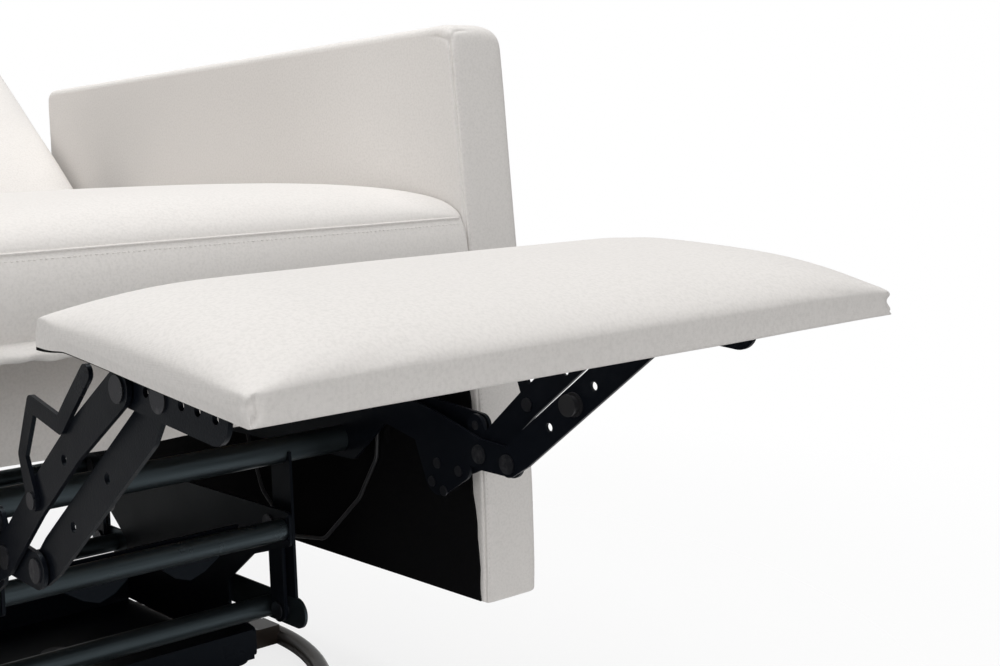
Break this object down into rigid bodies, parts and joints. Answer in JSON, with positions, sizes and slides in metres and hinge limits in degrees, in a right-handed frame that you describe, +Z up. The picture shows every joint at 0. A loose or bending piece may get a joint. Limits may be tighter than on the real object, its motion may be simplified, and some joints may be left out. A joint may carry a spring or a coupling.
{
  "type": "swivel glider recliner",
  "caption": "Upholstered armchair that turns and glides on a floor ring, with a reclining back and a folding footrest on a steel linkage.",
  "frame": {"origin": "floor level under the middle of the chair's overall box with the footrest out; the swivel axis is 91 mm in front of it (at y = -0.091 m)", "axes": "+Z up, the chair faces -Y, the sitter's left is +X"},
  "size_m": [0.63, 1.6804, 0.8567],
  "materials": {
    "black_steel": "semi-gloss black powder coat",
    "ring_steel": "gloss dark tube with a brownish highlight",
    "bare_steel": "zinc plated rivets, pins and screws",
    "spring_steel": "oiled spring wire",
    "bearing_steel": "polished balls",
    "wood": "raw softwood and plywood",
    "upholstery": "ivory fine weave",
    "lining": "black lining cloth",
    "nylon": "dark nylon",
    "cable": "black sleeved cable"
  },
  "bodies": {
    "base": {"floor_ring": "ring_steel", "ring_cross_bars": "ring_steel", "bearing_lower_plate": "black_steel", "bearing_balls": "bearing_steel", "bearing_center_rivet": "bare_steel"},
    "stand": {"bearing_upper_plate": "black_steel", "stand_channels": "black_steel", "stand_side_left": "black_steel", "stand_side_right": "black_steel", "stand_tubes": "black_steel", "stand_front_gusset": "black_steel", "hanger_top_pins": "bare_steel"},
    "front_hangers": {"hangers_front": "black_steel"},
    "rear_hangers": {"hangers_rear": "black_steel"},
    "seat": {"glide_rail_left": "black_steel", "glide_rail_right": "black_steel", "glide_uprights": "black_steel", "glide_tubes": "black_steel", "hanger_bottom_pins": "bare_steel", "seat_cross_tubes": "black_steel", "mechanism_plate_left": "black_steel", "mechanism_plate_right": "black_steel", "link_pivot_pins": "bare_steel", "seat_side_rail_left": "wood", "seat_side_rail_right": "wood", "mechanism_screws": "bare_steel", "seat_front_rail": "wood", "seat_apron_rail": "wood", "seat_rear_rail": "wood", "front_apron": "upholstery", "seat_springs": "spring_steel", "seat_cushion": "upholstery", "arm_left": "upholstery", "arm_right": "upholstery", "arm_linings": "lining", "release_cable": "cable", "back_pivot_bolts": "bare_steel"},
    "lever": {"release_lever": "nylon"},
    "front_links": {"front_link_left": "black_steel", "front_link_right": "black_steel", "front_link_rivets": "bare_steel"},
    "long_links": {"long_link_left": "black_steel", "long_link_right": "black_steel", "stop_straps": "black_steel", "long_link_rivets": "bare_steel"},
    "cross_links": {"cross_link_left": "black_steel", "cross_link_right": "black_steel", "stop_rollers": "nylon"},
    "control_links": {"control_links": "black_steel"},
    "footrest": {"footrest_bracket_left": "black_steel", "footrest_bracket_right": "black_steel", "footrest_board": "wood", "footrest_screws": "bare_steel", "footrest_pad": "upholstery", "bracket_rivets": "bare_steel"},
    "backrest": {"back_posts": "wood", "back_rails": "wood", "back_brackets": "black_steel", "back_cushion": "upholstery", "back_outer": "upholstery"}
  },
  "joints": [
    {"name": "swivel", "type": "hinge", "parent": "base", "child": "stand", "pos_m": [0, -0.091, 0.045], "axis": [0, 0, 1], "continuous": true},
    {"name": "glide", "type": "hinge", "parent": "stand", "child": "rear_hangers", "pos_m": [0, 0.089, 0.188], "axis": [1, 0, 0], "range_deg": [-20, 20]},
    {"name": "glide_level", "type": "hinge", "parent": "rear_hangers", "child": "seat", "pos_m": [0, 0.089, 0.104], "axis": [1, 0, 0], "range_deg": [-20, 20]},
    {"name": "glide_front", "type": "hinge", "parent": "stand", "child": "front_hangers", "pos_m": [0, -0.271, 0.188], "axis": [1, 0, 0], "range_deg": [-20, 20]},
    {"name": "footrest_fold", "type": "hinge", "parent": "seat", "child": "front_links", "pos_m": [0, -0.3435, 0.303], "axis": [1, 0, 0], "range_deg": [0, 84]},
    {"name": "long_link_turn", "type": "hinge", "parent": "front_links", "child": "long_links", "pos_m": [0, -0.489, 0.272], "axis": [1, 0, 0], "range_deg": [-118, 0]},
    {"name": "cross_link_turn", "type": "hinge", "parent": "front_links", "child": "cross_links", "pos_m": [0, -0.527, 0.27], "axis": [1, 0, 0], "range_deg": [-118, 0]},
    {"name": "footrest_tilt", "type": "hinge", "parent": "long_links", "child": "footrest", "pos_m": [0, -0.658, 0.4], "axis": [1, 0, 0], "range_deg": [0, 118]},
    {"name": "control_link_turn", "type": "hinge", "parent": "seat", "child": "control_links", "pos_m": [0, -0.3157, 0.3403], "axis": [1, 0, 0], "range_deg": [0, 78]},
    {"name": "recline", "type": "hinge", "parent": "seat", "child": "backrest", "pos_m": [0, 0.289, 0.36], "axis": [1, 0, 0], "range_deg": [0, 38]},
    {"name": "release", "type": "hinge", "parent": "seat", "child": "lever", "pos_m": [0.305, -0.306, 0.33], "axis": [1, 0, 0], "range_deg": [0, 30], "stiffness_Nm_per_rad": 0.3}
  ],
  "couplings": [
    {"joint": "glide_level", "follows": "glide", "ratio": -1},
    {"joint": "glide_front", "follows": "glide", "ratio": 1},
    {"joint": "long_link_turn", "follows": "footrest_fold", "ratio": -1.4048},
    {"joint": "cross_link_turn", "follows": "footrest_fold", "ratio": -1.4048},
    {"joint": "footrest_tilt", "follows": "footrest_fold", "ratio": 1.4048},
    {"joint": "control_link_turn", "follows": "footrest_fold", "ratio": 0.91722}
  ]
}
